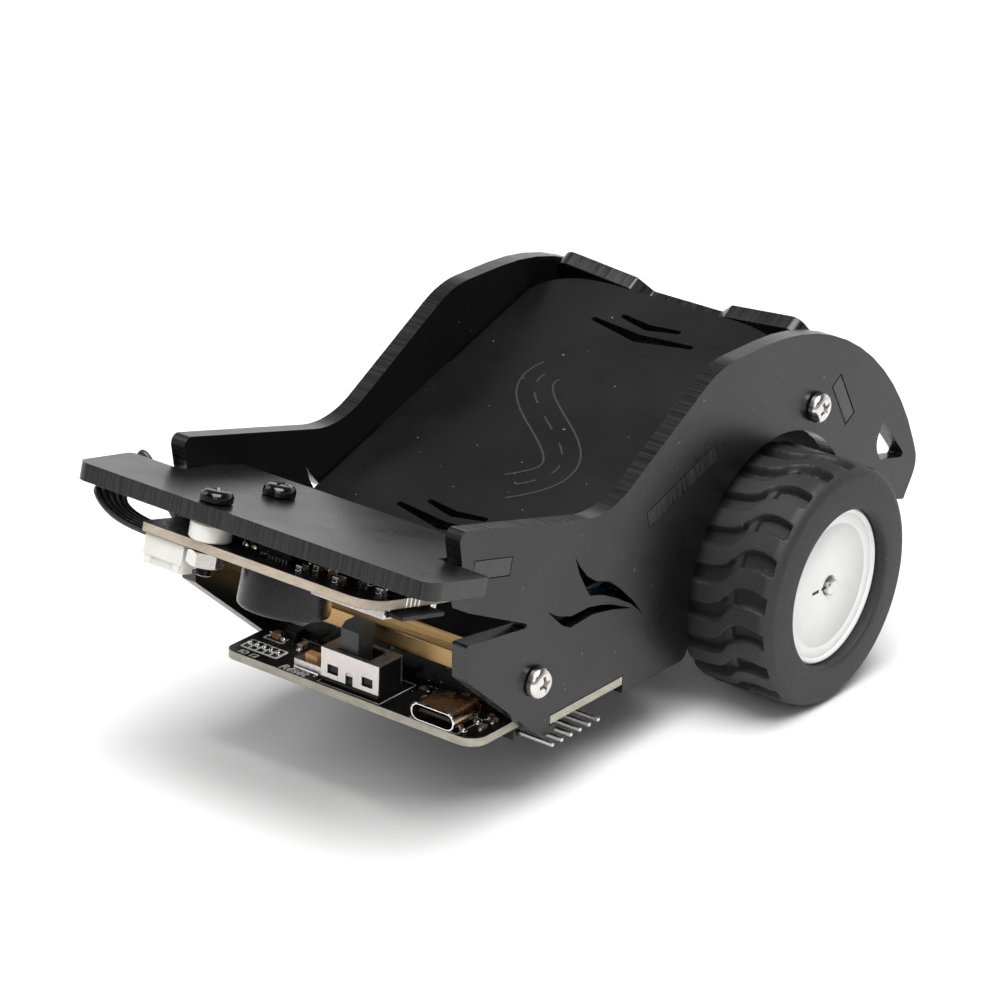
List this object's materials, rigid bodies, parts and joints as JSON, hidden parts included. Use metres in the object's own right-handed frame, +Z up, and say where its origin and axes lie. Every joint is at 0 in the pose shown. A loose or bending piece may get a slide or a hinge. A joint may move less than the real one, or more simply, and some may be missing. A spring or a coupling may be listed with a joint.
{
  "type": "line follower robot",
  "caption": "Two-wheeled line-following robot: interlocking black sheet chassis, bare circuit boards, sloping front bumper, geared drive wheels and a ball caster.",
  "frame": {"origin": "centre of the bounding box in plan, on the ground the tyres and the caster ball stand on", "axes": "+Z up; the bumper points towards -Y; +X is the side of the USB socket"},
  "size_m": [0.0898, 0.1555, 0.0645],
  "materials": {
    "acrylic": "satin",
    "circuit_board": "satin",
    "black_plastic": "satin",
    "grey_plastic": "matte",
    "white_plastic": "satin",
    "tan_plastic": "satin",
    "tyre_rubber": "matte",
    "steel": "satin",
    "black_steel": "gloss",
    "brass": "satin",
    "blue_wrap": "gloss",
    "cable": "satin"
  },
  "bodies": {
    "chassis": {"battery_cell_1": "blue_wrap", "battery_cell_2": "blue_wrap", "battery_tray": "black_plastic", "brass_standoff_front": "brass", "brass_standoff_rear": "brass", "bumper_nut_front": "steel", "bumper_nut_rear": "steel", "bumper_plate": "acrylic", "bumper_screw_front": "black_steel", "bumper_screw_rear": "black_steel", "buzzer": "black_plastic", "cable_plug_lower": "white_plastic", "cable_plug_upper": "white_plastic", "cable_socket_lower": "white_plastic", "cable_socket_upper": "white_plastic", "card_socket": "steel", "caster_housing": "black_plastic", "controller_chip": "black_plastic", "deck_plate": "acrylic", "gearbox_left": "brass", "gearbox_right": "brass", "header_pins": "steel", "header_strip": "black_plastic", "left_side_plate": "acrylic", "line_sensor_centre": "black_plastic", "line_sensor_left": "black_plastic", "line_sensor_right": "black_plastic", "main_board": "circuit_board", "motor_bracket_left": "white_plastic", "motor_bracket_right": "white_plastic", "motor_can_left": "steel", "motor_can_right": "steel", "nylon_spacer_front": "white_plastic", "nylon_spacer_rear": "white_plastic", "power_switch_body": "black_plastic", "power_switch_shell": "steel", "rear_plate": "acrylic", "reset_button_body": "steel", "right_side_plate": "acrylic", "sensor_board": "circuit_board", "sensor_cable": "cable", "standoff_screw_front_left": "steel", "standoff_screw_front_right": "steel", "standoff_screw_rear_left": "steel", "standoff_screw_rear_right": "steel", "usb_socket": "steel"},
    "left_wheel": {"wheel_hub_left": "white_plastic", "wheel_tyre_left": "tyre_rubber", "motor_shaft_left": "steel"},
    "right_wheel": {"wheel_hub_right": "white_plastic", "wheel_tyre_right": "tyre_rubber", "motor_shaft_right": "steel"},
    "power_lever": {"power_switch_lever": "grey_plastic"},
    "reset_cap": {"reset_button_cap": "tan_plastic"},
    "memory_card": {"memory_card": "black_plastic"},
    "caster_ball": {"caster_ball": "steel"}
  },
  "joints": [
    {"name": "left_wheel_spin", "type": "hinge", "parent": "chassis", "child": "left_wheel", "pos_m": [-0.0425, 0.0304, 0.0218], "axis": [1, 0, 0], "continuous": true},
    {"name": "right_wheel_spin", "type": "hinge", "parent": "chassis", "child": "right_wheel", "pos_m": [0.0425, 0.0304, 0.0218], "axis": [1, 0, 0], "continuous": true},
    {"name": "power_lever_slide", "type": "slide", "parent": "chassis", "child": "power_lever", "axis": [1, 0, 0], "range_m": [0, 0.0025]},
    {"name": "reset_cap_press", "type": "slide", "parent": "chassis", "child": "reset_cap", "axis": [0, 0, -1], "range_m": [0, 0.0003], "stiffness_N_per_m": 300},
    {"name": "memory_card_slide", "type": "slide", "parent": "chassis", "child": "memory_card", "axis": [1, 0, 0], "range_m": [0, 0.012]},
    {"name": "caster_ball_roll", "type": "hinge", "parent": "chassis", "child": "caster_ball", "pos_m": [0, -0.0071, 0.006], "axis": [1, 0, 0], "continuous": true}
  ]
}
